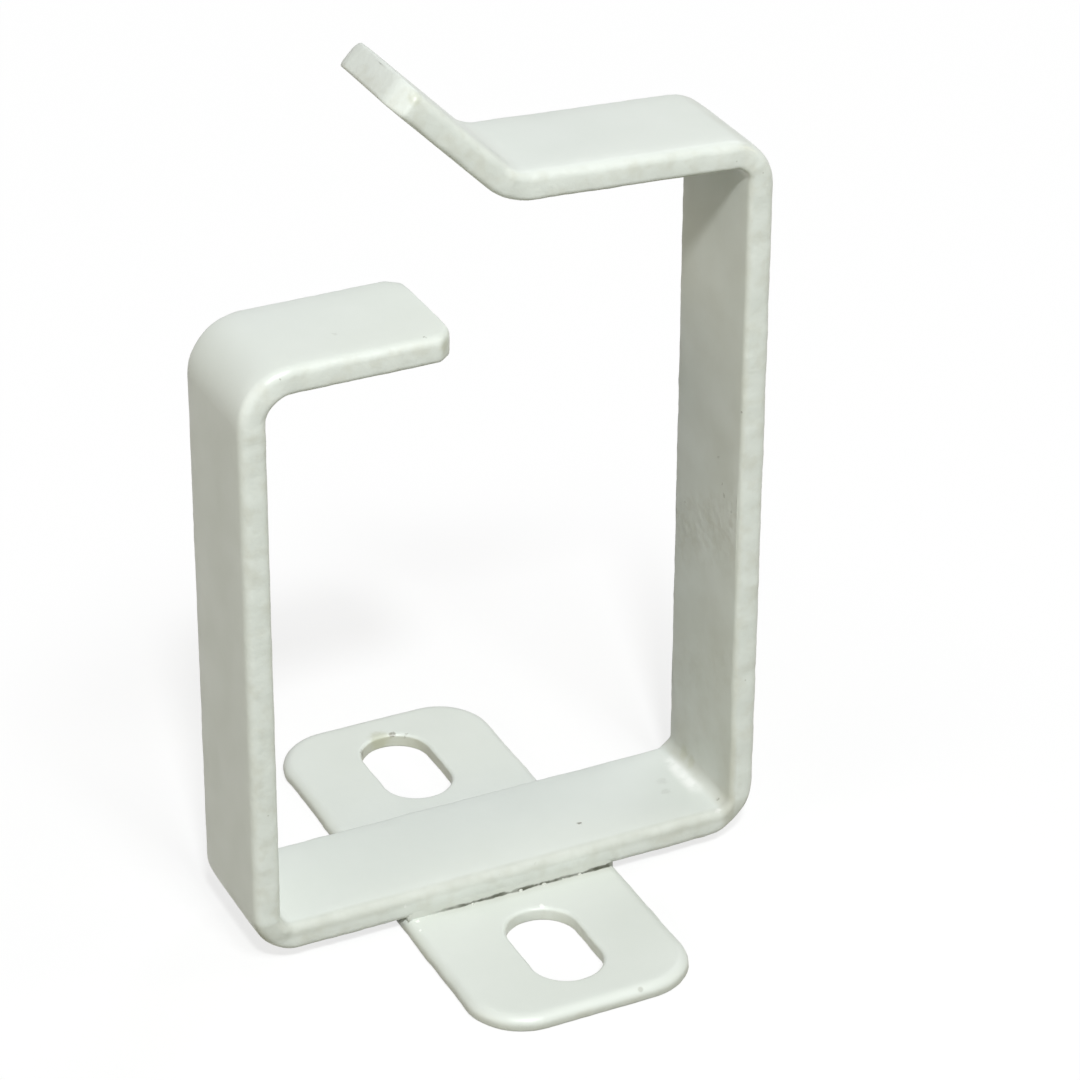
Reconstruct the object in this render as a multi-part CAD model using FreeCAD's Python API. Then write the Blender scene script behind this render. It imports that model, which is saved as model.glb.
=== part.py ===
import FreeCAD, Part
import math
import os

# Cable management bracket: a hoop bent from one flat steel bar, welded across a thin slotted
# foot plate. Millimetres, +Z up. X runs along the hoop's bottom run and Y along the foot plate.
# The origin is the middle of the foot plate's underside.

# Flat bar that the hoop is bent from, sheared so that the edges of its outer skin are rolled over
# more than those of its inner skin
bar_width = 15.0
bar_thickness = 3.0
bar_outer_edge_radius = 1.05
bar_inner_edge_radius = 0.7
bar_end_chamfer = 2.0

# Runs of the bar, corner to corner over its outer skin, from the short side's free end to the lip
short_top_run = 23.8
short_side_height = 70.5
hoop_width = 60.8
tall_side_height = 85.3
tall_top_run = 29.5
lip_length = 16.8

# Degrees by which the short side leans in over the hoop and two runs slope above level
short_side_lean = 0.3
tall_top_slope = 2.7
lip_slope = 45.0

# Bends: the radius in the hollow of each, and how much rounder than a plain offset its back is,
# because the bar thins as it stretches there
short_top_bend_radius = 2.8
short_top_bend_stretch = 0.2
short_foot_bend_radius = 1.5
short_foot_bend_stretch = 0.7
tall_foot_bend_radius = 1.6
tall_foot_bend_stretch = 1.5
tall_top_bend_radius = 1.5
tall_top_bend_stretch = 1.0
lip_bend_radius = 4.2
lip_bend_stretch = 0.1

# Foot plate and its two fixing slots
foot_width = 26.0
foot_length = 63.0
foot_thickness = 1.7
foot_corner_radius = 6.6
foot_upper_edge_radius = 1.25
foot_lower_edge_radius = 0.3
slot_width = 8.2
slot_length = 14.0
slot_spacing = 39.6
slot_edge_radius = 0.25

# The hoop is welded a little off the foot plate's middle, towards -Y
hoop_offset = 1.4

# An edge rounding takes at most this share of the wall that it runs along
largest_rounding_share = 0.45
# The foot plate's upper edge is rolled over most of its thickness, and its lower edge takes the rest
largest_upper_share = 0.75
largest_lower_share = 0.2
# Faces whose normals have a smaller cosine between them meet in a sharp edge
smooth_cosine = 0.9
same_point = 1e-4


def level_vector(degrees):
    """Unit vector in the hoop's plane, turned up from +X."""
    angle = math.radians(degrees)
    return FreeCAD.Vector(math.cos(angle), 0, math.sin(angle))


def rounded_path(corners, radii):
    """Straight edges through the corners, with a tangent arc of its own radius at each inner one."""
    edges = []
    start = corners[0]
    for before, corner, after, radius in zip(corners, corners[1:], corners[2:], radii):
        back = (before - corner).normalize()
        ahead = (after - corner).normalize()
        half_angle = back.getAngle(ahead) / 2
        middle = (back + ahead).normalize()
        reach = radius / math.tan(half_angle)
        centre = corner + middle * (radius / math.sin(half_angle))
        arc = Part.Arc(corner + back * reach, centre - middle * radius, corner + ahead * reach)
        if start.distanceToPoint(arc.StartPoint) > same_point:
            edges.append(Part.LineSegment(start, arc.StartPoint).toShape())
        edges.append(arc.toShape())
        start = arc.EndPoint
    edges.append(Part.LineSegment(start, corners[-1]).toShape())
    return edges


def sharp_edges(solid):
    """Edges where two faces meet at an angle, leaving out the seams where they run on smoothly."""
    found = []
    for edge in solid.Edges:
        point = edge.valueAt((edge.FirstParameter + edge.LastParameter) / 2)
        faces = solid.ancestorsOfType(edge, Part.Face)
        normals = [face.normalAt(*face.Surface.parameter(point)) for face in faces]
        if len(normals) == 2 and abs(normals[0].dot(normals[1])) < smooth_cosine:
            found.append(edge)
    return found


def edges_over(solid, wire, height):
    """Sharp edges of the solid that follow a wire in the hoop's plane, on either side of the bar."""
    found = []
    for edge in sharp_edges(solid):
        point = edge.valueAt((edge.FirstParameter + edge.LastParameter) / 2)
        point.y = height
        if wire.distToShape(Part.Vertex(point))[0] < same_point:
            found.append(edge)
    return found


def bent_bar_hoop():
    """The bar, walked run by run along its outer skin, with the inner skin on its left."""
    headings = [180, 270 - short_side_lean, 0, 90, 180 - tall_top_slope, 180 - lip_slope]
    lengths = [short_top_run, short_side_height, hoop_width, tall_side_height, tall_top_run, lip_length]
    bends = [
        (short_top_bend_radius, short_top_bend_stretch),
        (short_foot_bend_radius, short_foot_bend_stretch),
        (tall_foot_bend_radius, tall_foot_bend_stretch),
        (tall_top_bend_radius, tall_top_bend_stretch),
        (lip_bend_radius, lip_bend_stretch),
    ]
    walk = [FreeCAD.Vector()]
    for heading, length in zip(headings, lengths):
        walk.append(walk[-1] + level_vector(heading) * length)
    short_foot_corner = walk[2]
    place = FreeCAD.Vector(-hoop_width / 2, -hoop_offset - bar_width / 2, foot_thickness)
    outer = [point - short_foot_corner + place for point in walk]

    lefts = [level_vector(heading + 90) for heading in headings]
    inner = []
    for corner, before, after in zip(outer, lefts[:1] + lefts, lefts + lefts[-1:]):
        mitre = before + after
        inner.append(corner + mitre * (2 * bar_thickness / mitre.dot(mitre)))

    outer_radii = []
    inner_radii = []
    for (hollow, stretch), before, after in zip(bends, headings, headings[1:]):
        back = hollow + bar_thickness + stretch
        turns_left = (after - before) % 360 < 180
        outer_radii.append(back if turns_left else hollow)
        inner_radii.append(hollow if turns_left else back)

    outer_skin = rounded_path(outer, outer_radii)
    inner_skin = rounded_path(inner[::-1], inner_radii[::-1])
    end_lines = [Part.LineSegment(outer[i], inner[i]).toShape() for i in (-1, 0)]
    edges = outer_skin + end_lines[:1] + inner_skin + end_lines[1:]
    across = FreeCAD.Vector(0, bar_width, 0)
    bar = Part.Face(Part.Wire(edges)).extrude(across)

    end_middles = [(outer[i] + inner[i]) * 0.5 + side for i in (0, -1) for side in (across * 0, across)]
    end_corners = [
        edge for edge in bar.Edges
        if min(edge.CenterOfMass.distanceToPoint(middle) for middle in end_middles) < same_point
    ]
    bar = bar.makeChamfer(min(bar_end_chamfer, bar_width * largest_rounding_share), end_corners)
    largest = bar_thickness * largest_rounding_share
    for skin, radius in ((outer_skin, bar_outer_edge_radius), (inner_skin, bar_inner_edge_radius)):
        bar = bar.makeFillet(min(radius, largest), edges_over(bar, Part.Wire(skin), outer[0].y)).Solids[0]
    return bar


def rounded_block(width, length, height, corner_radius):
    """Upright block about the Z axis, standing on its origin, with rounded corners in plan."""
    x = width / 2
    y = length / 2
    plan = [(x, 0), (x, y), (-x, y), (-x, -y), (x, -y), (x, 0)]
    corners = [FreeCAD.Vector(px, py, 0) for px, py in plan]
    outline = Part.Wire(rounded_path(corners, [corner_radius] * len(plan[1:-1])))
    return Part.Face(outline).extrude(FreeCAD.Vector(0, 0, height))


def edges_at_height(solid, height):
    return [edge for edge in solid.Edges if all(abs(vertex.Z - height) < same_point for vertex in edge.Vertexes)]


def slotted_foot_plate():
    corner_radius = min(foot_corner_radius, foot_width * largest_rounding_share)
    plate = rounded_block(foot_width, foot_length, foot_thickness, corner_radius)
    upper_radius = min(foot_upper_edge_radius, foot_thickness * largest_upper_share)
    lower_radius = min(foot_lower_edge_radius, foot_thickness * largest_lower_share)
    plate = plate.makeFillet(upper_radius, edges_at_height(plate, foot_thickness))
    plate = plate.makeFillet(lower_radius, edges_at_height(plate, 0))
    for side in (-1, 1):
        slot = rounded_block(slot_width, slot_length, foot_thickness, slot_width / 2)
        slot.translate(FreeCAD.Vector(0, side * slot_spacing / 2, 0))
        plate = plate.cut(slot)
    plate = plate.Solids[0]
    edge_radius = min(slot_edge_radius, foot_thickness * largest_rounding_share)
    return plate.makeFillet(edge_radius, sharp_edges(plate))


os.makedirs("parts", exist_ok=True)
pieces = {"bent_bar_hoop": bent_bar_hoop(), "slotted_foot_plate": slotted_foot_plate()}
for name, shape in pieces.items():
    shape.exportStep(f"parts/{name}.step")
    print(name, "valid" if shape.isValid() else "broken", f"{shape.Volume:.1f} mm3", shape.BoundBox)
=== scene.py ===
# %% [markdown]
# # A powder-coated cable bracket
# The bracket is a hoop of flat steel bar, folded five times and welded across a thin slotted foot
# plate. The solids arrive already at their real size, so this lesson is about looks: how the folded
# bar, its soft coated edges and the grey powder coat are made. Blender counts in metres, and the
# parts of a bracket are easier to think of in millimetres, so one factor turns one into the other.

# %% Load the solids
import math

import bmesh
import bpy
from mathutils import Matrix, Vector, noise


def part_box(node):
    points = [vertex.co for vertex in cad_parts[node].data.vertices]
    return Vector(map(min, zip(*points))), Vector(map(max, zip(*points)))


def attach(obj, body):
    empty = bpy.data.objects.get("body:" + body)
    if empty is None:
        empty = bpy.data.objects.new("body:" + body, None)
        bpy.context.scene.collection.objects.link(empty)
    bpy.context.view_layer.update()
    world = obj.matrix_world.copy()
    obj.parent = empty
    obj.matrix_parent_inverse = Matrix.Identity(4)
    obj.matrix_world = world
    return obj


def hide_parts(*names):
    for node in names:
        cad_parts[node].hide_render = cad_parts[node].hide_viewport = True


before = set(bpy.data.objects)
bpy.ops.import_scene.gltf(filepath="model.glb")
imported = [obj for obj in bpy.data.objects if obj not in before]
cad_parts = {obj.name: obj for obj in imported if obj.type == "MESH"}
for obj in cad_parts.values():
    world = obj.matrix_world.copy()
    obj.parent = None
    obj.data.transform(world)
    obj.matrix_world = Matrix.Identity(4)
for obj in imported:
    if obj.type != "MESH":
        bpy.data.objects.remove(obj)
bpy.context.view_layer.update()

mm = 0.001
hoop_low, hoop_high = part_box("bent_bar_hoop")
foot_low, foot_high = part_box("slotted_foot_plate")
print("hoop from", [round(v / mm, 2) for v in hoop_low], "to", [round(v / mm, 2) for v in hoop_high])
print("foot from", [round(v / mm, 2) for v in foot_low], "to", [round(v / mm, 2) for v in foot_high])

# %% [markdown]
# ## The camera
# The bracket is seen from in front, a little from the left and well from above. A camera can be
# turned by three angles, but it is easier to say where it looks and from which side. A long lens
# stands far off and keeps the uprights nearly parallel.

# %% Camera
look_at = Vector((6.7, -2.0, 41.5)) * mm
camera_distance = 420 * mm
camera_azimuth = math.radians(-25.86)
camera_elevation = math.radians(29.49)
camera_roll = math.radians(0.2)
lens_length = 129.26
sensor_width = 36
nearest_seen = 10 * mm

towards_camera = Vector((
    math.sin(camera_azimuth) * math.cos(camera_elevation),
    -math.cos(camera_azimuth) * math.cos(camera_elevation),
    math.sin(camera_elevation),
))
camera = bpy.data.objects.new("camera", bpy.data.cameras.new("camera"))
camera.data.lens = lens_length
camera.data.sensor_width = sensor_width
camera.data.clip_start = nearest_seen
camera.location = look_at + towards_camera * camera_distance
level_view = (-towards_camera).to_track_quat("-Z", "Y").to_matrix()
camera.rotation_euler = (level_view @ Matrix.Rotation(camera_roll, 3, "Z")).to_euler()
bpy.context.scene.collection.objects.link(camera)
bpy.context.scene.camera = camera
bpy.context.scene.view_settings.view_transform = "Standard"
print("camera at", [round(v / mm, 1) for v in camera.location])

# %% [markdown]
# ## Nodes by name
# Every material here is a small graph. This helper adds a node, sets its inputs by name and links
# any input that is given another node's output, so the graphs below read like recipes.

# %% Helper for shader nodes
def add_node(tree, kind, inputs=None, **settings):
    node = tree.nodes.new(kind)
    for name, value in settings.items():
        setattr(node, name, value)
    for name, value in (inputs or {}).items():
        socket = node.inputs[name]
        if isinstance(value, bpy.types.NodeSocket):
            tree.links.new(value, socket)
        else:
            socket.default_value = value
    return node


def empty_tree(owner):
    owner.use_nodes = True
    owner.node_tree.nodes.clear()
    return owner.node_tree


def math_node(tree, operation, first, second):
    return add_node(tree, "ShaderNodeMath", {0: first, 1: second}, operation=operation).outputs[0]


print("helpers for shader nodes are ready")

# %% [markdown]
# ## Floor, sky and softboxes
# A product shot on white has a floor that is white where the camera sees it and still carries a soft
# shadow. The Light Path node tells camera and mirror rays from the rest, so the floor can glow for
# them alone, most of all far from the bracket, and send less light up into the hoop. The sky is nearly
# dark. A small softbox and a wider one in front and above give the faces their greys and the shadows
# a core with a soft rim, and weak ones at the back, left and right open the shaded sides.

# %% Floor
floor_half_width = 4.0
floor_gap = 0.02 * mm
glow_near = 0.76
glow_far = 0.985
glow_reach = (0.04, 0.09)
floor_bounce = (0.30, 0.295, 0.225, 1)

floor_mesh = bpy.data.meshes.new("floor")
floor_bm = bmesh.new()
bmesh.ops.create_grid(floor_bm, x_segments=1, y_segments=1, size=floor_half_width)
bmesh.ops.translate(floor_bm, verts=floor_bm.verts, vec=Vector((0, 0, foot_low.z - floor_gap)))
floor_bm.to_mesh(floor_mesh)
floor_bm.free()
floor = bpy.data.objects.new("floor", floor_mesh)
bpy.context.scene.collection.objects.link(floor)


def seen_directly(tree):
    """1 for rays from the camera, or mirrored or passed on from it, and 0 for scattered light."""
    ray = add_node(tree, "ShaderNodeLightPath").outputs
    mirrored = math_node(tree, "MAXIMUM", ray["Is Glossy Ray"], ray["Is Transmission Ray"])
    return math_node(tree, "MAXIMUM", ray["Is Camera Ray"], mirrored)


floor_paint = bpy.data.materials.new("floor_white")
tree = empty_tree(floor_paint)
seen = seen_directly(tree)
shade = add_node(tree, "ShaderNodeMix", {"Factor": seen, "A": floor_bounce, "B": (1, 1, 1, 1)},
                 data_type="RGBA")
matt = add_node(tree, "ShaderNodeBsdfDiffuse", {"Color": shade.outputs["Result"]})
glow = add_node(tree, "ShaderNodeEmission", {"Color": (1, 1, 1, 1), "Strength": 1.0})
floor_place = add_node(tree, "ShaderNodeTexCoord").outputs["Object"]
from_middle = add_node(tree, "ShaderNodeVectorMath", {0: floor_place}, operation="LENGTH").outputs["Value"]
glow_share = add_node(tree, "ShaderNodeMapRange", {
    "Value": from_middle, "From Min": glow_reach[0], "From Max": glow_reach[1],
    "To Min": glow_near, "To Max": glow_far}, interpolation_type="SMOOTHSTEP").outputs[0]
mixed = add_node(tree, "ShaderNodeMixShader", {
    0: math_node(tree, "MULTIPLY", seen, glow_share), 1: matt.outputs[0], 2: glow.outputs[0]})
add_node(tree, "ShaderNodeOutputMaterial", {"Surface": mixed.outputs[0]})
floor.data.materials.append(floor_paint)
print("floor is", 2 * floor_half_width, "m wide")

# %% Sky
sky_level = 0.03
sky_tint = (1.0, 1.0, 0.9, 1)

sky = bpy.data.worlds.new("studio_tent")
bpy.context.scene.world = sky
tree = empty_tree(sky)
seen = seen_directly(tree)
tent = add_node(tree, "ShaderNodeBackground", {"Color": sky_tint, "Strength": sky_level})
white = add_node(tree, "ShaderNodeBackground", {"Color": (1, 1, 1, 1), "Strength": 1.0})
mixed = add_node(tree, "ShaderNodeMixShader", {0: seen, 1: tent.outputs[0], 2: white.outputs[0]})
add_node(tree, "ShaderNodeOutputWorld", {"Surface": mixed.outputs[0]})
print("the sky lights the bracket at a level of", sky_level)


# %% Softboxes
def softbox(name, towards, distance, size, level, tint):
    """A round area light. At a level of 1 it alone lights a white surface that faces it to white."""
    lamp = bpy.data.objects.new(name, bpy.data.lights.new(name, "AREA"))
    lamp.data.shape = "DISK"
    lamp.data.size = size
    lamp.data.color = tint
    lamp.data.energy = level * math.pi ** 2 * distance ** 2
    lamp.location = look_at + towards.normalized() * distance
    lamp.rotation_euler = (-towards).to_track_quat("-Z", "Y").to_euler()
    bpy.context.scene.collection.objects.link(lamp)
    print(name, "gives", round(lamp.data.energy, 2), "W")


# Each softbox: the way to it, its width in metres, its level and its tint
softboxes = {
    "key": ((-0.215, -0.61, 0.757), 0.12, 0.72, (0.975, 0.995, 1.005)),
    "wide_key": ((0.0, -0.63, 0.777), 0.30, 0.37, (0.975, 0.995, 1.005)),
    "back": ((0.60, 0.50, 0.62), 0.50, 0.11, (1.0, 1.0, 1.05)),
    "left": ((-0.92, -0.15, 0.35), 0.50, 0.165, (1.08, 0.99, 0.82)),
    "right": ((0.85, -0.25, 0.45), 0.50, 0.11, (1.05, 1.0, 0.70)),
}
softbox_distance = 1.2
for name, (way, width, level, tint) in softboxes.items():
    softbox(name + "_softbox", Vector(way), softbox_distance, width, level, tint)

# %% [markdown]
# ## The bar, run by run
# On the bench the hoop is one flat bar, 15 by 3 mm, pressed into five bends. A sweep along a curve
# would give its shape, but a curve hides the section. Here a rectangle of four edges walks along the
# bar instead: each straight run is an extrusion and each bend a spin about its own centre, as the
# press does it. The mesh is built in millimetres, where the operators' tolerances are small, and
# scaled to metres as its last step.

# %% Runs and bends of the bar
bar_width = (hoop_high.y - hoop_low.y) / mm
bar_middle = (hoop_high.y + hoop_low.y) / 2 / mm
bar_thickness = 3.0
coat_thickness = 0.14
foot_top = foot_high.z / mm
short_foot_corner = Vector((-30.4, bar_middle, foot_top))

# Each run: its length over the outer skin, corner to corner, and its heading above +X in degrees
short_top = (23.8, 180.0)
short_side = (70.5, 269.7)
bottom = (60.8, 0.0)
tall_side = (85.3, 90.0)
tall_top = (29.5, 177.3)
lip = (16.8, 135.0)
runs = [short_top, short_side, bottom, tall_side, tall_top, lip]

# Each bend: the radius of its hollow, and how much the bar's back is thinned there
bends = [(2.8, 0.2), (1.5, 0.7), (1.6, 1.5), (1.5, 1.0), (4.2, 0.1)]


def heading(degrees):
    """Unit vector in the hoop's plane, turned up from +X."""
    return Vector((math.cos(math.radians(degrees)), 0, math.sin(math.radians(degrees))))


def extrude_ring(bm, ring, way):
    """Pushes a ring of edges out along a vector and returns the new ring."""
    pushed = bmesh.ops.extrude_edge_only(bm, edges=ring)["geom"]
    verts = [g for g in pushed if isinstance(g, bmesh.types.BMVert)]
    bmesh.ops.translate(bm, vec=way, verts=verts)
    return [g for g in pushed if isinstance(g, bmesh.types.BMEdge) and set(g.verts) <= set(verts)]


print("the flat bar is", round(sum(length for length, _ in runs), 1), "mm long, corner to corner")

# %% [markdown]
# ## How a bend changes the bar
# A press bend is not a clean arc. The bar's back is stretched thinner and rounder than a plain offset
# of the hollow, and the metal squeezed together in the hollow swells out a little over both edges.
# A spin gives the clean arc, and this helper then moves the spun vertices.

# %% Bends that thin and swell
bend_steps = 14
bend_swell = 0.22
# How much faster the swell shrinks than the bar is deep, and how closely it keeps to the edges
swell_fade = 1.5
swell_power = 3


class Bend:
    """One bend of the walk, from the heading before it to the heading after it."""

    def __init__(self, before, after, hollow, thinned):
        turn = (after - before + 180) % 360 - 180
        self.before = before
        self.after = after
        self.hollow = hollow
        self.thinned = thinned
        self.side = math.copysign(1, turn)
        self.half_turn = math.radians(abs(turn)) / 2
        self.middle_way = heading(before + turn / 2 - self.side * 90)
        outer_radius = hollow + (bar_thickness if turn > 0 else 0)
        self.reach = outer_radius * math.tan(self.half_turn)
        self.run_in = thinned * math.tan(self.half_turn)

    def spin(self, bm, ring, middle):
        """Spins the ring round the bend and returns the new ring and the middle of the section there."""
        arm = bar_thickness / 2 + self.hollow
        self.centre = middle + heading(self.before + self.side * 90) * arm
        start = list({v for e in ring for v in e.verts})
        known = set(bm.verts) - set(start)
        spun = bmesh.ops.spin(
            bm, geom=ring + start, cent=self.centre, axis=(0, -self.side, 0), dvec=(0, 0, 0),
            angle=2 * self.half_turn, steps=bend_steps, use_duplicate=False)["geom_last"]
        self.verts = set(bm.verts) - known
        new_ring = [g for g in spun if isinstance(g, bmesh.types.BMEdge)]
        return new_ring, self.centre + heading(self.after - self.side * 90) * arm

    def shape(self):
        """Thins the back of the bend and swells its hollow."""
        back_radius = self.hollow + bar_thickness + self.thinned
        centre_shift = self.thinned / math.cos(self.half_turn)
        for vert in self.verts:
            arm = vert.co - self.centre
            across = arm.y
            arm.y = 0
            angle = arm.angle(self.middle_way)
            swell = bend_swell * math.cos(math.pi / 2 * min(angle / self.half_turn, 1)) ** 2
            depth = (arm.length - self.hollow) / bar_thickness
            back = math.sqrt(back_radius ** 2 - (centre_shift * math.sin(angle)) ** 2)
            back -= centre_shift * math.cos(angle)
            arm.length += depth * (back - self.hollow - bar_thickness)
            vert.co = self.centre + arm
            outwards = (2 * across / bar_width) ** swell_power
            vert.co.y += across + swell * (1 - swell_fade * depth) * outwards


headings = [way for _, way in runs]
walk_bends = [Bend(before, after, *bend) for before, after, bend in zip(headings, headings[1:], bends)]
print("bends turn by", [round(math.degrees(2 * bend.half_turn), 1) for bend in walk_bends], "degrees")

# %% [markdown]
# ## The section and its ends
# The bar was sheared from sheet. That rolls the edges of one face over more than those of the other,
# and the bar was folded with its rolled face outside. So the section starts as a rectangle whose
# corners get two different bevels, and its outer face falls away a little towards the edges. The coat
# makes the section larger on all sides but the inner one, where less powder lands. Each point of an
# inner edge remembers how far it lies from the sharp corner, which comes in useful below.

# %% Section of the bar
outer_edge_radius = 1.05
inner_edge_radius = 0.7
edge_segments = 6
crown_width = 3.8
crown_rise = 0.06
crown_drop = 0.12
flat_cuts = 9
reach_slack = 1.01

bar = bmesh.new()
bmesh.ops.create_grid(bar, x_segments=1, y_segments=1, size=0.5)
coated_size = (bar_thickness + coat_thickness, bar_width + 2 * coat_thickness, 1)
bmesh.ops.scale(bar, vec=coated_size, verts=bar.verts)
bmesh.ops.translate(bar, vec=(-coat_thickness / 2, 0, 0), verts=bar.verts)
for outwards, radius in ((-1, outer_edge_radius), (1, inner_edge_radius)):
    corners = [v for v in bar.verts if v.co.x * outwards > 0]
    bmesh.ops.bevel(bar, geom=corners, offset=radius, offset_type="OFFSET", segments=edge_segments,
                    profile=0.5, affect="VERTICES", material=-1)
bmesh.ops.delete(bar, geom=bar.faces[:], context="FACES_ONLY")
edge_reach = bar.verts.layers.float_vector.new("edge_reach")
for vert in bar.verts:
    side = math.copysign(bar_width / 2 + coat_thickness, vert.co.y)
    reach = vert.co - Vector((bar_thickness / 2, side, 0))
    if reach.length < reach_slack * inner_edge_radius:
        vert[edge_reach] = reach
long_edges = [e for e in bar.edges if e.calc_length() > bar_thickness]
bmesh.ops.subdivide_edges(bar, edges=long_edges, cuts=flat_cuts)
for vert in bar.verts:
    if vert.co.x < 0:
        from_edge = min((bar_width / 2 - abs(vert.co.y)) / crown_width, 1)
        vert.co.x *= 1 + (crown_rise - crown_drop * (1 - from_edge) ** 2) / (bar_thickness / 2)
print("the section has", len(bar.verts), "points")

# %% [markdown]
# ## Free ends
# The corners of both ends are cut off, the free end's straight and the lip's in a curve that runs out
# into the end face. The rims of the ends are rounded. The walk makes all this by starting and ending
# with smaller rings, so one function says how large the section is at each distance from an end.

# %% Shape of a free end
# Each cut: how far it reaches along the bar and across it, and 1 for straight or less for hollow-backed
free_end_cut = (1.6, 1.4, 1.0)
lip_end_cut = (1.6, 3.2, 0.6)
crease_blend = 0.3
end_rim_radius = 0.35
rim_steps = 4
cut_steps = 8


def end_size(distance, along, across, power):
    """Width and thickness of the section at a distance from an end, as shares of the full ones."""
    rim = end_rim_radius - math.sqrt(end_rim_radius ** 2 - max(end_rim_radius - distance, 0) ** 2)
    cut_off = across * (1 - (distance / along) ** power)
    if abs(cut_off) < crease_blend:
        cut_off = (cut_off + crease_blend) ** 2 / (4 * crease_blend)
    return Vector((1 - 2 * (max(cut_off, 0) + rim) / bar_width, 1 - 2 * rim / bar_thickness))


def end_steps(along, across, power):
    """Steps from an end to the full section: the length of each, and how it scales the section."""
    rim_angles = [math.pi / 2 * step / rim_steps for step in range(rim_steps + 1)]
    places = [end_rim_radius * (1 - math.cos(angle)) for angle in rim_angles]
    full_at = along * (1 + crease_blend / across) ** (1 / power)
    cut_length = full_at - end_rim_radius
    places += [end_rim_radius + cut_length * step / cut_steps for step in range(1, cut_steps + 1)]
    sizes = [end_size(place, along, across, power) for place in places]
    return [(b - a, after.x / before.x, after.y / before.y)
            for a, b, before, after in zip(places, places[1:], sizes, sizes[1:])]


steps_in = end_steps(*free_end_cut)
lip_steps = reversed(end_steps(*lip_end_cut))
steps_out = [(step, 1 / across, 1 / through) for step, across, through in lip_steps]
print("the free ends are", len(steps_in), "and", len(steps_out), "steps long")

# %% [markdown]
# ## A softer edge on the low runs
# The melted coat ran down the short side, where it left the front edge rounder, and gathered on the
# bottom run, where it is thicker too. Scaling a quarter round about its sharp corner gives a larger
# quarter round, so the remembered reach of each point is all that is needed. The bends fade the change.

# %% Soften the low runs
low_edge_radius = 1.1
low_coat = 0.25
short_side_share = 0.8
run_slack = 0.1
bottom_inner = foot_top + bar_thickness


def soften_low_runs(bm):
    """Rounds the front edge of the short side and the bottom run, and thickens the coat on the latter."""
    edge_reach = bm.verts.layers.float_vector["edge_reach"]
    growth = low_edge_radius / inner_edge_radius - 1
    in_bend = {vert: bend for bend in walk_bends[:3] for vert in bend.verts}
    short_side_top = short_foot_corner.z + short_side[0] - walk_bends[0].reach
    short_side_depth = 1.5 * bar_thickness
    for vert in bm.verts:
        from_corner = vert.co - short_foot_corner
        bend = in_bend.get(vert)
        if bend:
            up = bend.centre - vert.co
            up.y = 0
            inside = up.length < bend.hollow + bar_thickness / 2
            up.normalize()
        elif vert.co.z < bottom_inner + run_slack:
            up = Vector((0, 0, 1))
            inside = from_corner.z > bar_thickness / 2
        elif from_corner.x < short_side_depth and vert.co.z < short_side_top:
            up = heading(short_side[1] + 90)
            inside = from_corner.x > bar_thickness / 2
        else:
            continue
        share = min(max(up.z, 0) + short_side_share * max(up.x, 0), 1)
        if vert.co.y < bar_middle:
            reach = vert[edge_reach]
            vert.co += (up * reach.x + Vector((0, reach.y, 0))) * growth * share
        if inside:
            vert.co += up * low_coat * max(up.z, 0)


print("the front edge grows from", inner_edge_radius, "to", low_edge_radius, "mm along the bottom run")

# %% [markdown]
# ## The walk
# All is ready for the walk from the free end to the lip. A run is pushed in one step and cut into short
# ones only after the bends are shaped, because cutting gives the mesh new vertices and the bends would
# lose hold of theirs. The short steps are what the uneven coat moves later.

# %% Walk the section along the bar
ring_spacing = 0.5


def edges_between(ring, new_ring):
    """The edges that a push has drawn along the bar."""
    starts = {v for e in ring for v in e.verts}
    ends = {v for e in new_ring for v in e.verts}
    return [e for v in starts for e in v.link_edges if e.other_vert(v) in ends]


def scale_ring(bm, ring, middle, across, through):
    """Scales a ring of edges about the bar's middle. It is square to the bar, so X and Z are its depth."""
    verts = list({v for e in ring for v in e.verts})
    bmesh.ops.scale(bm, vec=(through, across, through), space=Matrix.Translation(-middle), verts=verts)


short_top_corner = short_foot_corner - heading(short_side[1]) * short_side[0]
free_end = short_top_corner - heading(short_top[1]) * short_top[0]
middle = free_end + heading(short_top[1] + 90) * (bar_thickness / 2)
bar_ends = [(middle, -heading(short_top[1]))]
bmesh.ops.rotate(bar, cent=(0, 0, 0), matrix=Matrix.Rotation(math.radians(90), 3, "Y"), verts=bar.verts)
bmesh.ops.translate(bar, vec=middle, verts=bar.verts)
ring = bar.edges[:]
scale_ring(bar, ring, middle, *end_size(0, *free_end_cut))

long_pushes = []
for (length, way), before, after in zip(runs, [None] + walk_bends, walk_bends + [None]):
    lead_in = [(before.run_in, 1, 1)] if before else steps_in
    lead_out = [(after.run_in, 1, 1)] if after else steps_out
    taken = sum(step for step, _, _ in lead_in + lead_out)
    taken += sum(bend.reach for bend in (before, after) if bend)
    clear = length - taken
    for step, across, through in lead_in + [(clear, 1, 1)] + lead_out:
        last_ring = ring
        ring = extrude_ring(bar, ring, heading(way) * step)
        middle = middle + heading(way) * step
        scale_ring(bar, ring, middle, across, through)
        if step == clear:
            long_pushes.append(edges_between(last_ring, ring))
    if after:
        ring, middle = after.spin(bar, ring, middle)
bar_ends.append((middle, heading(lip[1])))

for bend in walk_bends:
    bend.shape()
soften_low_runs(bar)
for along in long_pushes:
    bmesh.ops.subdivide_edges(bar, edges=along, cuts=round(along[0].calc_length() / ring_spacing) - 1)
bmesh.ops.holes_fill(bar, edges=[e for e in bar.edges if e.is_boundary], sides=len(ring))
bmesh.ops.recalc_face_normals(bar, faces=bar.faces)
print("swept bar:", len(bar.verts), "vertices, ends at", [round(c, 2) for c in middle])

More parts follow.
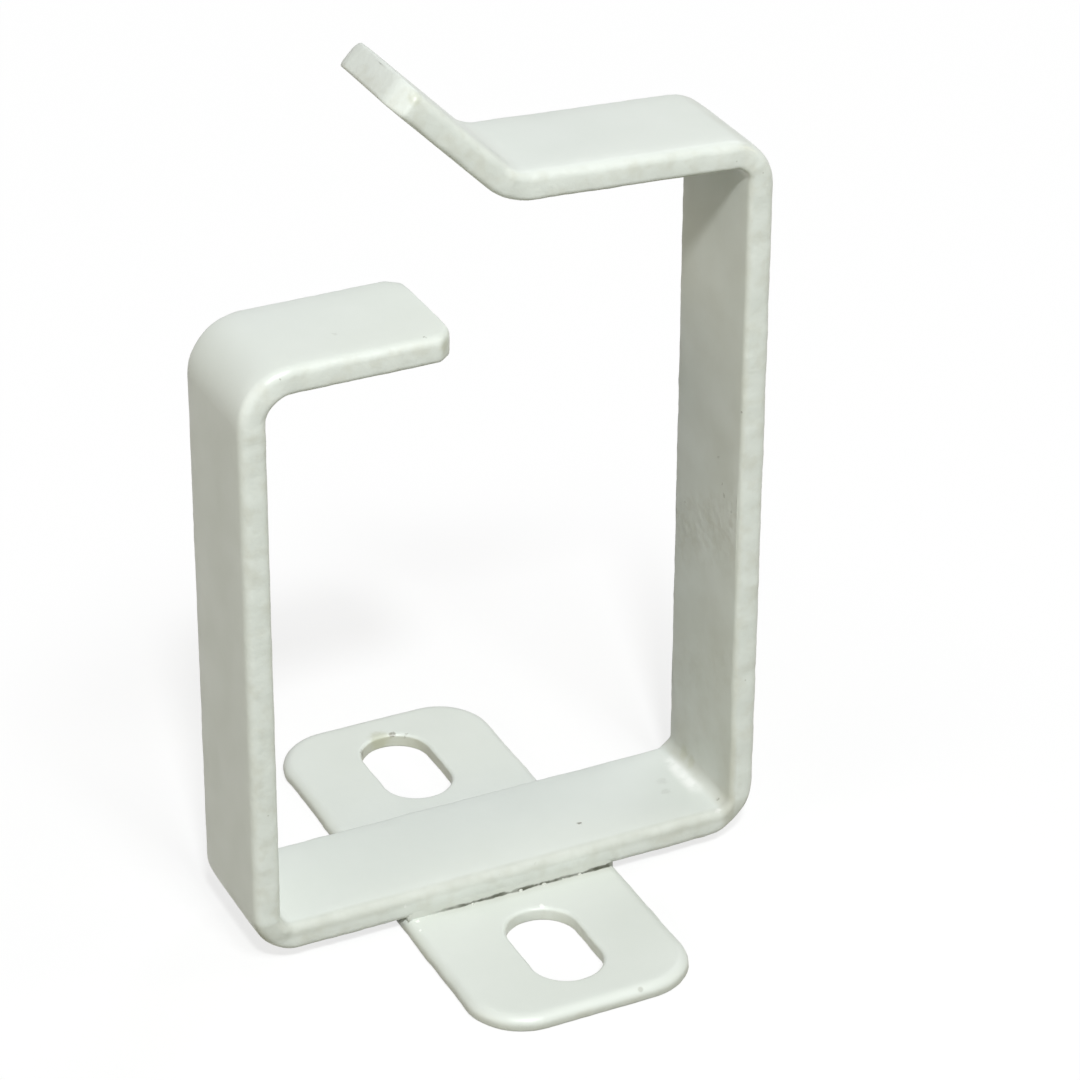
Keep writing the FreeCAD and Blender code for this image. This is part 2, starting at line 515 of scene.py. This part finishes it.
# %% [markdown]
# ## An uneven coat
# Melted powder pulls back from edges and gathers in lumps along them, so the narrow sides of the bar
# are never quite straight. A bump map would only shade that; moving the vertices along their normals
# by a smooth noise gives the real outline. How far a vertex belongs to a narrow side is kept as an
# attribute, so that the coat's material can find the edges too.

# %% Lumps along the edges
lump_length = 3.0
lump_height = 0.11
grain_length = 0.95
grain_height = 0.07
grain_shift = Vector((7, 3, 5))
flat_share = 0.06


def uneven_coat(bm, edge_share):
    """Moves each vertex along its normal by noise, most where edge_share says that it is on an edge."""
    bm.normal_update()
    layer = bm.verts.layers.float.new("coated_edge")
    moves = []
    for vert in bm.verts:
        share = edge_share(vert)
        vert[layer] = share
        lump = lump_height * noise.noise(vert.co / lump_length)
        grain = grain_height * noise.noise(vert.co / grain_length + grain_shift)
        moves.append((vert, vert.normal * (lump + grain) * (flat_share + (1 - flat_share) * share)))
    for vert, move in moves:
        vert.co += move
    return max(move.length for _, move in moves)


def make_piece(bm, name):
    """Turns a bmesh in millimetres into an object in metres, smooth and at the origin."""
    bmesh.ops.recalc_face_normals(bm, faces=bm.faces)
    bmesh.ops.scale(bm, vec=(mm, mm, mm), verts=bm.verts)
    for face in bm.faces:
        face.smooth = True
    mesh = bpy.data.meshes.new(name)
    bm.to_mesh(mesh)
    bm.free()
    piece = bpy.data.objects.new(name, mesh)
    bpy.context.scene.collection.objects.link(piece)
    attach(piece, "root")
    print(name, "has", len(mesh.vertices), "vertices and", len(mesh.polygons), "faces")
    return piece


print("lumps of up to", lump_height + grain_height, "mm along the edges")

# %% Finish the bar
end_zone = 0.6 * bar_width


def bar_edge_share(vert):
    """1 on the bar's narrow sides and ends, 0 on its flats."""
    near = [way for end, way in bar_ends if (vert.co - end).length < end_zone]
    at_end = max((way.dot(vert.normal) for way in near), default=0)
    return max(abs(vert.normal.y), at_end)


print("the coat moves the bar's skin by up to", round(uneven_coat(bar, bar_edge_share), 3), "mm")
coated_hoop = make_piece(bar, "coated_hoop")
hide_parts("bent_bar_hoop")

# %% [markdown]
# ## The foot plate and its slots
# The foot is a thin plate, punched out with two slots. Punching draws the upper edges in, so each rim
# is a soft roll. A boolean would cut the slots but leave hard rims to clean up. Here every outline is
# a loop of edges that is extruded step by step along the profile of a rolled rim, and the flat faces
# are filled in between the three loops at the end.

# %% Profile of a rolled rim
foot_thickness = (foot_high.z - foot_low.z) / mm
outline_rolls = (0.3, 1.3)
slot_rolls = (0.2, 0.45)
roll_steps = 6
flat_border = 0.5


def roll(radius, step):
    """Sine and cosine parts of a quarter round."""
    angle = math.pi / 2 * step / roll_steps
    return radius * (1 - math.sin(angle)), radius * (1 - math.cos(angle))


def rim_profile(lower_roll, upper_roll):
    """Points of a rim from below, each with how far it lies in from the wall, and its height."""
    points = [(lower_roll + flat_border, 0)]
    points += [roll(lower_roll, step) for step in range(roll_steps + 1)]
    for step in range(roll_steps + 1):
        below, inside = roll(upper_roll, step)
        points.append((inside, foot_thickness - below))
    return points + [(upper_roll + flat_border, foot_thickness)]


print("a rim has", len(rim_profile(*outline_rolls)), "points")


# %% Loops that follow the profile
def clamp(value, limit):
    return max(-limit, min(limit, value))


def move_loop(verts, centre, core, growth):
    """Scales a loop in plan about the nearest points of its core, so that straight sides stay straight."""
    for vert in verts:
        offset = vert.co.xy - centre
        nearest = Vector((clamp(offset.x, core.x), clamp(offset.y, core.y)))
        vert.co.xy = centre + nearest + (offset - nearest) * growth


def sweep_rim(bm, loop, centre, core, radius, rolls, hole):
    """Extrudes a loop along the rim's profile and returns its lowest and highest loops."""
    loops = []
    last_height = 0
    last_radius = radius
    for inset, height in rim_profile(*rolls):
        if loops:
            loop = extrude_ring(bm, loop, Vector((0, 0, height - last_height)))
        new_radius = radius + inset if hole else radius - inset
        move_loop({v for e in loop for v in e.verts}, centre, core, new_radius / last_radius)
        loops.append(loop)
        last_height, last_radius = height, new_radius
    return loops[0], loops[-1]


def divide_long_edges(bm, edges):
    """Cuts the straight parts of a loop into short steps, so that they can be uneven too."""
    for edge in edges:
        steps = round(edge.calc_length() / ring_spacing)
        if steps > 1:
            bmesh.ops.subdivide_edges(bm, edges=[edge], cuts=steps - 1)


print("straight sides are cut about every", ring_spacing, "mm")

# %% Plate outline
foot_width = (foot_high.x - foot_low.x) / mm
foot_length = (foot_high.y - foot_low.y) / mm
foot_corner_radius = 6.6
foot_corner_segments = 14

foot = bmesh.new()
bmesh.ops.create_grid(foot, x_segments=1, y_segments=1, size=0.5)
bmesh.ops.scale(foot, vec=(foot_width, foot_length, 1), verts=foot.verts)
bmesh.ops.bevel(foot, geom=foot.verts[:], offset=foot_corner_radius, offset_type="OFFSET",
                segments=foot_corner_segments, profile=0.5, affect="VERTICES", material=-1)
bmesh.ops.delete(foot, geom=foot.faces[:], context="FACES_ONLY")
divide_long_edges(foot, foot.edges[:])
foot_core = Vector((foot_width, foot_length)) / 2 - Vector((foot_corner_radius, foot_corner_radius))
foot_middle = Vector((0, 0))
outline = foot.edges[:]
rims = [sweep_rim(foot, outline, foot_middle, foot_core, foot_corner_radius, outline_rolls, hole=False)]
print("outline swept:", len(foot.faces), "faces")

# %% Slots
slot_width = 8.2
slot_length = 14.0
slot_spacing = 39.6
slot_segments = 44

slot_core = Vector((0, (slot_length - slot_width) / 2))
for side in (-1, 1):
    known = set(foot.verts)
    bmesh.ops.create_circle(foot, segments=slot_segments, radius=slot_width / 2, cap_ends=False)
    slot_verts = [v for v in foot.verts if v not in known]
    half_step = Matrix.Rotation(math.pi / slot_segments, 3, "Z")
    bmesh.ops.rotate(foot, cent=(0, 0, 0), matrix=half_step, verts=slot_verts)
    for end in (-1, 1):
        half = [v for v in slot_verts if v.co.y * end > 0]
        bmesh.ops.translate(foot, vec=(0, end * slot_core.y, 0), verts=half)
    slot_centre = Vector((0, side * slot_spacing / 2))
    bmesh.ops.translate(foot, vec=slot_centre.to_3d(), verts=slot_verts)
    divide_long_edges(foot, list({e for v in slot_verts for e in v.link_edges}))
    loop = [e for e in foot.edges if e.is_wire]
    rims.append(sweep_rim(foot, loop, slot_centre, slot_core, slot_width / 2, slot_rolls, hole=True))

for level in (0, 1):
    edges = [edge for rim in rims for edge in rim[level]]
    bmesh.ops.triangle_fill(foot, use_beauty=True, use_dissolve=False, edges=edges,
                            normal=(0, 0, 2 * level - 1))
print("foot plate:", len(foot.verts), "vertices, open edges:", sum(e.is_boundary for e in foot.edges))


# %% Finish the foot plate
def foot_edge_share(vert):
    """1 on the walls of the outline and the slots, 0 on the flat faces."""
    return 1 - abs(vert.normal.z)


bmesh.ops.recalc_face_normals(foot, faces=foot.faces)
print("the coat moves the foot's skin by up to", round(uneven_coat(foot, foot_edge_share), 3), "mm")
bmesh.ops.translate(foot, vec=(0, 0, foot_low.z / mm), verts=foot.verts)
coated_foot = make_piece(foot, "coated_foot")
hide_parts("slotted_foot_plate")

# %% [markdown]
# ## Coat in the crevice
# Under the bar's rolled lower edge the powder has filled the crevice, level with the bar's front. The
# filling is a long box, cut into short steps so that its front can be as uneven as the bar, with its
# top sunk into the bar and its ends drawn back under the bar's edge. Along the foot a dark crack is
# painted on it as shade, and small balls bridge it in a few places.

# %% Filled crevice
bar_front = bar_middle - bar_width / 2 - coat_thickness
fill_depth = 1.4
fill_low = foot_top - 0.3
fill_high = foot_top + 1.9
fill_proud = 0.04
fill_lean = 0.08
fill_end = foot_width / 2 - 0.4
fill_taper = 0.8
fill_draw = 0.15
fill_layers = 4

fill = bmesh.new()
fill_size = Matrix.Diagonal((2 * fill_end, fill_depth, fill_high - fill_low, 1))
fill_middle = Vector((0, bar_front - fill_proud + fill_depth / 2, (fill_low + fill_high) / 2))
bmesh.ops.create_cube(fill, size=1, matrix=Matrix.Translation(fill_middle) @ fill_size)
upper_front = [v for v in fill.verts if v.co.z > foot_top and v.co.y < fill_middle.y]
bmesh.ops.translate(fill, vec=(0, fill_lean, 0), verts=upper_front)
along_bar = [e for e in fill.edges if abs(e.verts[0].co.x - e.verts[1].co.x) > fill_end]
bmesh.ops.subdivide_edges(fill, edges=along_bar, cuts=round(2 * fill_end / ring_spacing))
upright = [e for e in fill.edges if abs(e.verts[0].co.z - e.verts[1].co.z) > foot_top / 2]
bmesh.ops.subdivide_edges(fill, edges=upright, cuts=fill_layers)
uneven_coat(fill, lambda vert: 1)
for vert in fill.verts:
    drawn_back = max(abs(vert.co.x) - fill_end + fill_taper, 0) / fill_taper
    vert.co.y += fill_draw * drawn_back ** 2
crevice_fill = make_piece(fill, "crevice_fill")

# %% Bridges of coat
# Each bridge: its place along the bar, its half length and its half height
bridges = [
    (-4.85, 0.26, 0.17), (1.0, 0.15, 0.10), (3.85, 0.28, 0.19), (6.24, 0.15, 0.10), (8.28, 0.2, 0.14),
]
# More than any edge has, so that the coat's material knows a bridge by it
bridge_share = 1.5

seam = bmesh.new()
for along, half_length, half_height in bridges:
    spot = Vector((along, bar_front - half_height, foot_top))
    size = Matrix.Diagonal((half_length, half_height, half_height, 1))
    bmesh.ops.create_icosphere(seam, subdivisions=3, radius=1, matrix=Matrix.Translation(spot) @ size)
uneven_coat(seam, lambda vert: bridge_share)
coat_bridges = make_piece(seam, "coat_bridges")

# %% [markdown]
# ## Powder coat
# Powder coat is melted plastic dust: an even light grey with a faint green cast, half glossy, with a
# fine orange-peel ripple. Each trait is one texture on Object coordinates, so that its pattern has the
# same size on every piece. First the tools: noise of a given length, soft ramps and bands along an axis,
# which are multiplied into masks, and a mix of two colours by a mask.

# %% Tools for the coat
coat = bpy.data.materials.new("powder_coat")
tree = empty_tree(coat)
place = add_node(tree, "ShaderNodeTexCoord").outputs["Object"]
edge = add_node(tree, "ShaderNodeAttribute", attribute_name="coated_edge").outputs["Fac"]


def per_mm(length):
    """Texture scale at which one cell is that many millimetres long."""
    return 1 / (length * mm)


def noise_of(length, detail=2.0, output=0):
    inputs = {"Vector": place, "Scale": per_mm(length), "Detail": detail}
    return add_node(tree, "ShaderNodeTexNoise", inputs).outputs[output]


def ramp(value, low, high, to_low=0.0, to_high=1.0):
    inputs = {"Value": value, "From Min": low, "From Max": high, "To Min": to_low, "To Max": to_high}
    return add_node(tree, "ShaderNodeMapRange", inputs, interpolation_type="SMOOTHSTEP").outputs[0]


def ramp_mm(value, low, high, to_low=0.0, to_high=1.0):
    """A ramp between two places in millimetres."""
    return ramp(value, low * mm, high * mm, to_low, to_high)


def mix_colour(factor, first, second):
    inputs = {"Factor": factor, "A": first, "B": second}
    return add_node(tree, "ShaderNodeMix", inputs, data_type="RGBA").outputs["Result"]


def times(*values):
    product = values[0]
    for value in values[1:]:
        product = math_node(tree, "MULTIPLY", product, value)
    return product


def band(value, rise, fall):
    """1 between two places, with a soft rise before and a soft fall after, in millimetres."""
    return times(ramp_mm(value, *rise), ramp_mm(value, fall[1], fall[0]))


def away(value, middle):
    """How far a coordinate is from a place in millimetres."""
    return math_node(tree, "ABSOLUTE", math_node(tree, "SUBTRACT", value, middle * mm), 0)


axes = add_node(tree, "ShaderNodeSeparateXYZ", {"Vector": place})
x, y, z = (axes.outputs[axis] for axis in "XYZ")
print("tools ready:", len(tree.nodes), "nodes so far")

# %% [markdown]
# ## Colour of the coat
# The flats are only faintly cloudy. Along the edges, where the powder has thinned, the coat is duller
# and yellower in blotches. Inside the punched slots the walls are a dull olive, partly where the steel
# shines through the coat and partly as painted shade, and the foot's outer walls are painted darker
# towards the floor as shade. A painted image would need unwrapping first; masks made from coordinates
# follow the shape by themselves.

# %% Clouds and blotches
coat_light = (0.70, 0.735, 0.695, 1)
coat_dull = (0.68, 0.717, 0.673, 1)
edge_colour = (0.615, 0.635, 0.575, 1)
cloud_length = 11
blotch_length = 2.2
blotch_strength = 0.8

clouds = mix_colour(ramp(noise_of(cloud_length, 3.0), 0.3, 0.7), coat_dull, coat_light)
blotches = times(ramp(noise_of(blotch_length, 3.0), 0.44, 0.72), ramp(edge, 0.3, 0.9))
blotched = mix_colour(times(blotches, blotch_strength), clouds, edge_colour)
print("clouds of", cloud_length, "mm and blotches of", blotch_length, "mm")

# %% Slots of the foot, and painted shade on its rims
slot_stain_and_shade_colour = (0.40, 0.40, 0.31, 1)
rim_shade_colour = (0.30, 0.30, 0.24, 1)
# How far around a slot its tint is full, and where it ends
tint_full = 0.3
tint_end = 0.5
front_slot_tint = 0.06
rear_slot_tint = 0.5
# Painted shade on the foot's outer walls, darker towards the floor: its strength, and the heights where it
# is full and where it ends
rim_shade_strength = 0.5
rim_full = 0.4
rim_end = 1.7

beside_slot = ramp_mm(away(x, 0), slot_width / 2 + tint_end, slot_width / 2 + tint_full)
from_slot_middle = away(away(y, 0), slot_spacing / 2)
along_slot = ramp_mm(from_slot_middle, slot_length / 2 + tint_end, slot_length / 2 + tint_full)
in_foot = ramp_mm(z, foot_top + 0.4, foot_top + 0.1)
slot_wall = times(beside_slot, along_slot, in_foot, ramp(edge, 0.35, 0.9))
outer_wall = math_node(tree, "SUBTRACT", 1, slot_wall)
painted_rim_shade = times(in_foot, ramp(edge, 0.3, 0.9), ramp_mm(z, rim_end, rim_full), outer_wall)
# The slot walls are olive, partly as a stain and partly as painted shade in the recess, the rear slot more
slot_stain_and_shade = ramp_mm(y, -1, 1, front_slot_tint, rear_slot_tint)
tinted = mix_colour(times(slot_wall, slot_stain_and_shade), blotched, slot_stain_and_shade_colour)
tinted = mix_colour(times(painted_rim_shade, rim_shade_strength), tinted, rim_shade_colour)
print("colour graph:", len(tree.nodes), "nodes so far")

# %% [markdown]
# ## Dust
# Dust settles at random. A Voronoi pattern divides space into cells of about one size, and a few of them,
# chosen by their random colour, get a dot in their middle. The edges hold more and finer dust.

# %% Specks of dust
speck_colour = (0.25, 0.24, 0.18, 1)
dust_strength = 0.35
# Radius of a dot and of its dark core, as shares of a cell
dot_radius = 0.09
core_radius = 0.04
# Size of a cell, and the share of the cells that get a dot
coarse_dust = (4.7, 0.025)
fine_dust = (1.6, 0.10)


def specks(size, share):
    """Dots of dust: a ball in the middle of a few cells of a Voronoi pattern."""
    cells = add_node(tree, "ShaderNodeTexVoronoi", {"Vector": place, "Scale": per_mm(size)})
    chosen = add_node(tree, "ShaderNodeSeparateColor", {"Color": cells.outputs["Color"]})
    few = math_node(tree, "LESS_THAN", chosen.outputs[0], share)
    return times(ramp(cells.outputs["Distance"], dot_radius, core_radius), few)


edge_dust = times(specks(*fine_dust), ramp(edge, 0.2, 0.7))
dust = math_node(tree, "MAXIMUM", specks(*coarse_dust), edge_dust)
marked = mix_colour(times(dust, dust_strength), tinted, speck_colour)
print("dust of two sizes:", len(tree.nodes), "nodes so far")

# %% [markdown]
# ## The tall side's inner face
# This face lies inside the hoop. It is darker, partly from grime and partly as painted shade, most of
# all low down. In two places the coat has set in small waves there, and in the hollow of the bend below
# a pale streak is a painted highlight. Each of these is a mask of bands along the axes, broken up by
# noise, so that its outline is never straight.

# %% Grime and painted shade, waves and the painted highlight in the hollow
grime_and_shade_colour = (0.46, 0.455, 0.37, 1)
highlight_colour = (0.93, 0.94, 0.92, 1)
highlight_length = 1.5
grime_and_shade_length = 7
stain_length = 1.6
# The waves climb towards the front: height for each millimetre along the foot
wave_slope = 0.5
lower_wave_share = 0.4

inner_face = band(x, (26.0, 27.0), (27.6, 28.2))
# The pale streak in the hollow of the bend below is a painted highlight
hollow = times(band(x, (24.4, 25.7), (26.1, 27.0)), ramp_mm(z, 6.6, 5.6), band(y, (-5.2, -2.5), (2.0, 4.8)))
highlight_share = ramp(noise_of(highlight_length, 3.0), 0.32, 0.6, 0.15, 0.8)
marked = mix_colour(times(hollow, highlight_share), marked, highlight_colour)

# Grime and painted shade: the inner face gets darker in an olive mottle, most of all low down
grime_and_shade_depth = ramp(noise_of(grime_and_shade_length, 4.0), 0.25, 0.75, 0.1, 0.4)
low_grime_and_shade = times(ramp_mm(z, 95, 16, 0.6, 1), ramp_mm(z, 22, 6, 1, 1.7))
marked = mix_colour(times(inner_face, low_grime_and_shade, grime_and_shade_depth), marked, grime_and_shade_colour)

slanted = math_node(tree, "ADD", z, times(y, wave_slope))
lower_waves = times(band(slanted, (13, 17), (21, 25)), lower_wave_share)
waved = math_node(tree, "MAXIMUM", band(slanted, (29, 37), (38, 44)), lower_waves)
waved = times(waved, inner_face, ramp(edge, 0.3, 0.1))
wave_stain = ramp(noise_of(stain_length, 2.0), 0.45, 0.65, 0, 0.3)
marked = mix_colour(times(waved, wave_stain), marked, grime_and_shade_colour)
print("inner face done:", len(tree.nodes), "nodes so far")

# %% [markdown]
# ## Dirt, stains and painted highlights
# Single marks have their own places: dirt, olive stains where the coat is thin, and painted highlights
# where edges glint. Each is a ball of influence about a point. Its outline is ragged because the
# distance is measured from a place that noise has shifted.

# %% Single marks
dirt_colour = (0.13, 0.115, 0.075, 1)
olive_colour = (0.44, 0.45, 0.31, 1)
ragged_length = 0.5
ragged_shift = 0.9 * mm
mark_core = 0.35
# Each mark: its colour, its place and radius in millimetres and its strength
marks = [
    (dirt_colour, (1.3, 26.95, 1.5), 0.55, 0.75), (dirt_colour, (2.8, 26.2, 1.3), 0.4, 0.6),
    (dirt_colour, (-2.8, 24.7, 1.4), 1.1, 0.7), (dirt_colour, (-4.1, 21.4, 1.1), 0.6, 0.5),
    (olive_colour, (-0.4, 26.8, 1.2), 1.8, 0.5),
    (dirt_colour, (-25.5, -8.9, 71.3), 0.22, 0.5), (dirt_colour, (-9.4, -8.2, 72.3), 0.2, 0.6),
    (dirt_colour, (10.64, -4.22, 4.85), 0.3, 0.85), (dirt_colour, (-17.5, -3.9, 72.3), 0.5, 0.12),
    (dirt_colour, (17.4, -1.7, 85.5), 0.4, 0.35), (dirt_colour, (18.2, -2.0, 85.5), 0.35, 0.25),
    (dirt_colour, (24.65, -8.9, 4.84), 0.35, 0.5), (dirt_colour, (26.9, -7.1, 5.3), 0.3, 0.5),
    (dirt_colour, (23.1, -0.5, 4.84), 0.9, 0.1), (dirt_colour, (22.5, -2.6, 4.84), 0.8, 0.12),
    (dirt_colour, (-3.0, -9.1, 4.84), 0.4, 0.3), (dirt_colour, (2.9, -9.1, 4.84), 0.45, 0.35),
    (dirt_colour, (4.5, -9.1, 4.84), 0.35, 0.3),
    (dirt_colour, (27.4, -3.9, 47.85), 0.28, 0.3), (dirt_colour, (27.4, -4.9, 45.0), 0.28, 0.35),
    (dirt_colour, (27.4, -5.4, 43.85), 0.3, 0.35), (dirt_colour, (27.4, -7.1, 42.6), 0.35, 0.3),
    (dirt_colour, (27.4, 3.6, 38.5), 0.28, 0.3), (dirt_colour, (27.4, -8.6, 55.5), 0.28, 0.5),
    (olive_colour, (27.3, 2.1, 6.2), 1.2, 0.35), (olive_colour, (27.3, 0.3, 6.0), 1.0, 0.3),
    (olive_colour, (-10.3, -8.8, 98.9), 1.1, 0.3), (olive_colour, (-7.4, -8.4, 71.0), 1.0, 0.3),
    # The light marks below are painted highlights: glints on the bend, the foot's rim and the slot's rim
    (highlight_colour, (26.1, -8.6, 5.0), 0.45, 0.9), (highlight_colour, (-11.9, -9.6, 1.75), 0.3, 0.8),
    (highlight_colour, (-12.3, -11.3, 1.6), 0.25, 0.7), (highlight_colour, (1.9, -12.75, 1.65), 0.35, 0.9),
    (highlight_colour, (-12.9, -8.9, 3.8), 0.35, 0.6),
]

ragged = add_node(tree, "ShaderNodeVectorMath", {
    0: noise_of(ragged_length, 2.0, "Color"), 1: (-0.5, -0.5, -0.5)}, operation="ADD").outputs[0]
shifted = add_node(tree, "ShaderNodeVectorMath", {
    0: ragged, 1: (ragged_shift,) * 3, 2: place}, operation="MULTIPLY_ADD").outputs[0]
for colour, where, radius, strength in marks:
    far = add_node(tree, "ShaderNodeVectorMath", {
        0: shifted, 1: tuple(v * mm for v in where)}, operation="DISTANCE").outputs["Value"]
    marked = mix_colour(ramp_mm(far, radius, mark_core * radius, 0, strength), marked, colour)
print("dirt and drops in", len(marks), "places")

# %% [markdown]
# ## The front of the bottom run
# The front edge of the bottom run is painted darker in mottles, as shade that dims its highlight, and
# below it the front over the foot and the filling are painted darker towards the foot as shade. Under
# that runs the crack: a dark line of painted shade along the foot. It opens in the left third of the
# foot and stays open to the right, and the bridges, known by their edge value, stay clear of it. Noise
# makes it waver. The foot just before the bar gets a painted shadow.

# %% Painted shade on the front over the foot
front_shade_colour = (0.47, 0.485, 0.43, 1)
ridge_top = bottom_inner + low_coat
mottle_length = 2.4
mottle_strength = 0.8

over_foot = ramp_mm(away(x, 0), fill_end + 1.5, fill_end - 1)
at_front = ramp_mm(y, bar_front + 1.3, bar_front + 0.6)
on_ridge = times(at_front, band(z, (ridge_top - 1.8, ridge_top - 0.9), (ridge_top + 0.7, ridge_top + 1.5)))
# The ridge is painted darker in mottles, as shade that dims its highlight
mottled_ridge_shade = times(on_ridge, ramp(noise_of(mottle_length, 2.0), 0.3, 0.7, 0.5, 0.72), mottle_strength)
above_foot = band(z, (foot_top + 0.02, foot_top + 0.08), (ridge_top - 0.4, ridge_top + 0.2))
# Painted shade: the front over the foot darkens towards the foot
darker_low = ramp_mm(z, foot_top + 1.9, foot_top + 0.2, 0.26, 0.62)
front_shade_low = times(at_front, over_foot, above_foot, darker_low)
marked = mix_colour(math_node(tree, "MAXIMUM", mottled_ridge_shade, front_shade_low), marked, front_shade_colour)
print("stained front up to", round(ridge_top, 2), "mm high")

# %% The crack and the shadow before the bar, both painted
crevice_shade_colour = (0.085, 0.09, 0.062, 1)
foot_shadow_colour = (0.53, 0.54, 0.49, 1)
waver_length = 1.3
waver_height = 0.6 * mm
depth_length = 1.7

not_below = ramp_mm(z, foot_top - 0.15, foot_top - 0.05)
on_foot = times(ramp_mm(z, foot_top + 0.2, foot_top + 0.1), not_below)
# Painted shadow on the foot just before the bar, stronger to the right
before_bar = band(y, (bar_front - 1.5, bar_front - 0.1), (bar_front + 0.6, bar_front + 1.2))
foot_shadow = times(before_bar, on_foot, over_foot, ramp_mm(x, -11, -6, 0.1, 0.5))
marked = mix_colour(foot_shadow, marked, foot_shadow_colour)

# The crack is a dark line of painted shade under the bar's front edge
waver = times(math_node(tree, "SUBTRACT", noise_of(waver_length), 0.5), waver_height)
low_down = ramp_mm(math_node(tree, "ADD", z, waver), foot_top + 0.36, foot_top + 0.18)
in_front = ramp_mm(math_node(tree, "SUBTRACT", y, waver), bar_front - 0.26, bar_front - 0.06)
not_behind = ramp_mm(y, bar_front + 2.2, bar_front + 1.8)
open_part = band(x, (-11, -5.5), (11.8, 13.2))
not_bridged = ramp(edge, 1.1, 1.3, 1, 0)
crack_shade = times(in_front, not_behind, low_down, not_below, open_part, not_bridged)
darkness = ramp(noise_of(depth_length), 0.3, 0.65, 0.5, 0.95)
crack_shaded = mix_colour(times(crack_shade, darkness), marked, crevice_shade_colour)
print("crack done:", len(tree.nodes), "nodes so far")

# %% [markdown]
# ## Gloss
# The melt leaves a half gloss and a ripple like orange peel, too fine for the mesh, so a bump carries
# it, with pits along the edges and the waves of the inner face. The gloss itself drifts a little from
# place to place and is dull on the ridge along the bottom run's front.

# %% Ripple and gloss
coat_gloss = 0.40
gloss_drift = (-0.06, 0.08)
ridge_dulling = 0.3
drift_length = 5
peel_height = 0.03 * mm
peel_length = 3.6
fine_peel_length = 1.5
fine_peel_share = 0.6
pit_length = 0.6
wave_length = 1.3
# As a multiple of the peel's height
wave_height = 5.5

pits = times(noise_of(pit_length, 2.0), ramp(edge, 0.15, 0.7, 0.1, 1.3))
waves = times(noise_of(wave_length, 1.5), waved, wave_height)
fine_peel = times(noise_of(fine_peel_length), fine_peel_share)
peel = math_node(tree, "ADD", fine_peel, noise_of(peel_length, 1.0))
for extra in (pits, waves):
    peel = math_node(tree, "ADD", peel, extra)
ripple = add_node(tree, "ShaderNodeBump", {"Height": peel, "Strength": 1.0, "Distance": peel_height})
drift = ramp(noise_of(drift_length, 2.0), 0.2, 0.8, *(coat_gloss + change for change in gloss_drift))
roughness = math_node(tree, "ADD", drift, times(on_ridge, ridge_dulling))
skin = add_node(tree, "ShaderNodeBsdfPrincipled", {
    "Base Color": crack_shaded, "Roughness": roughness, "Normal": ripple.outputs[0]})
add_node(tree, "ShaderNodeOutputMaterial", {"Surface": skin.outputs[0]})

for piece in (coated_hoop, coated_foot, crevice_fill, coat_bridges):
    piece.data.materials.append(coat)
print("powder coat has", len(tree.nodes), "nodes")
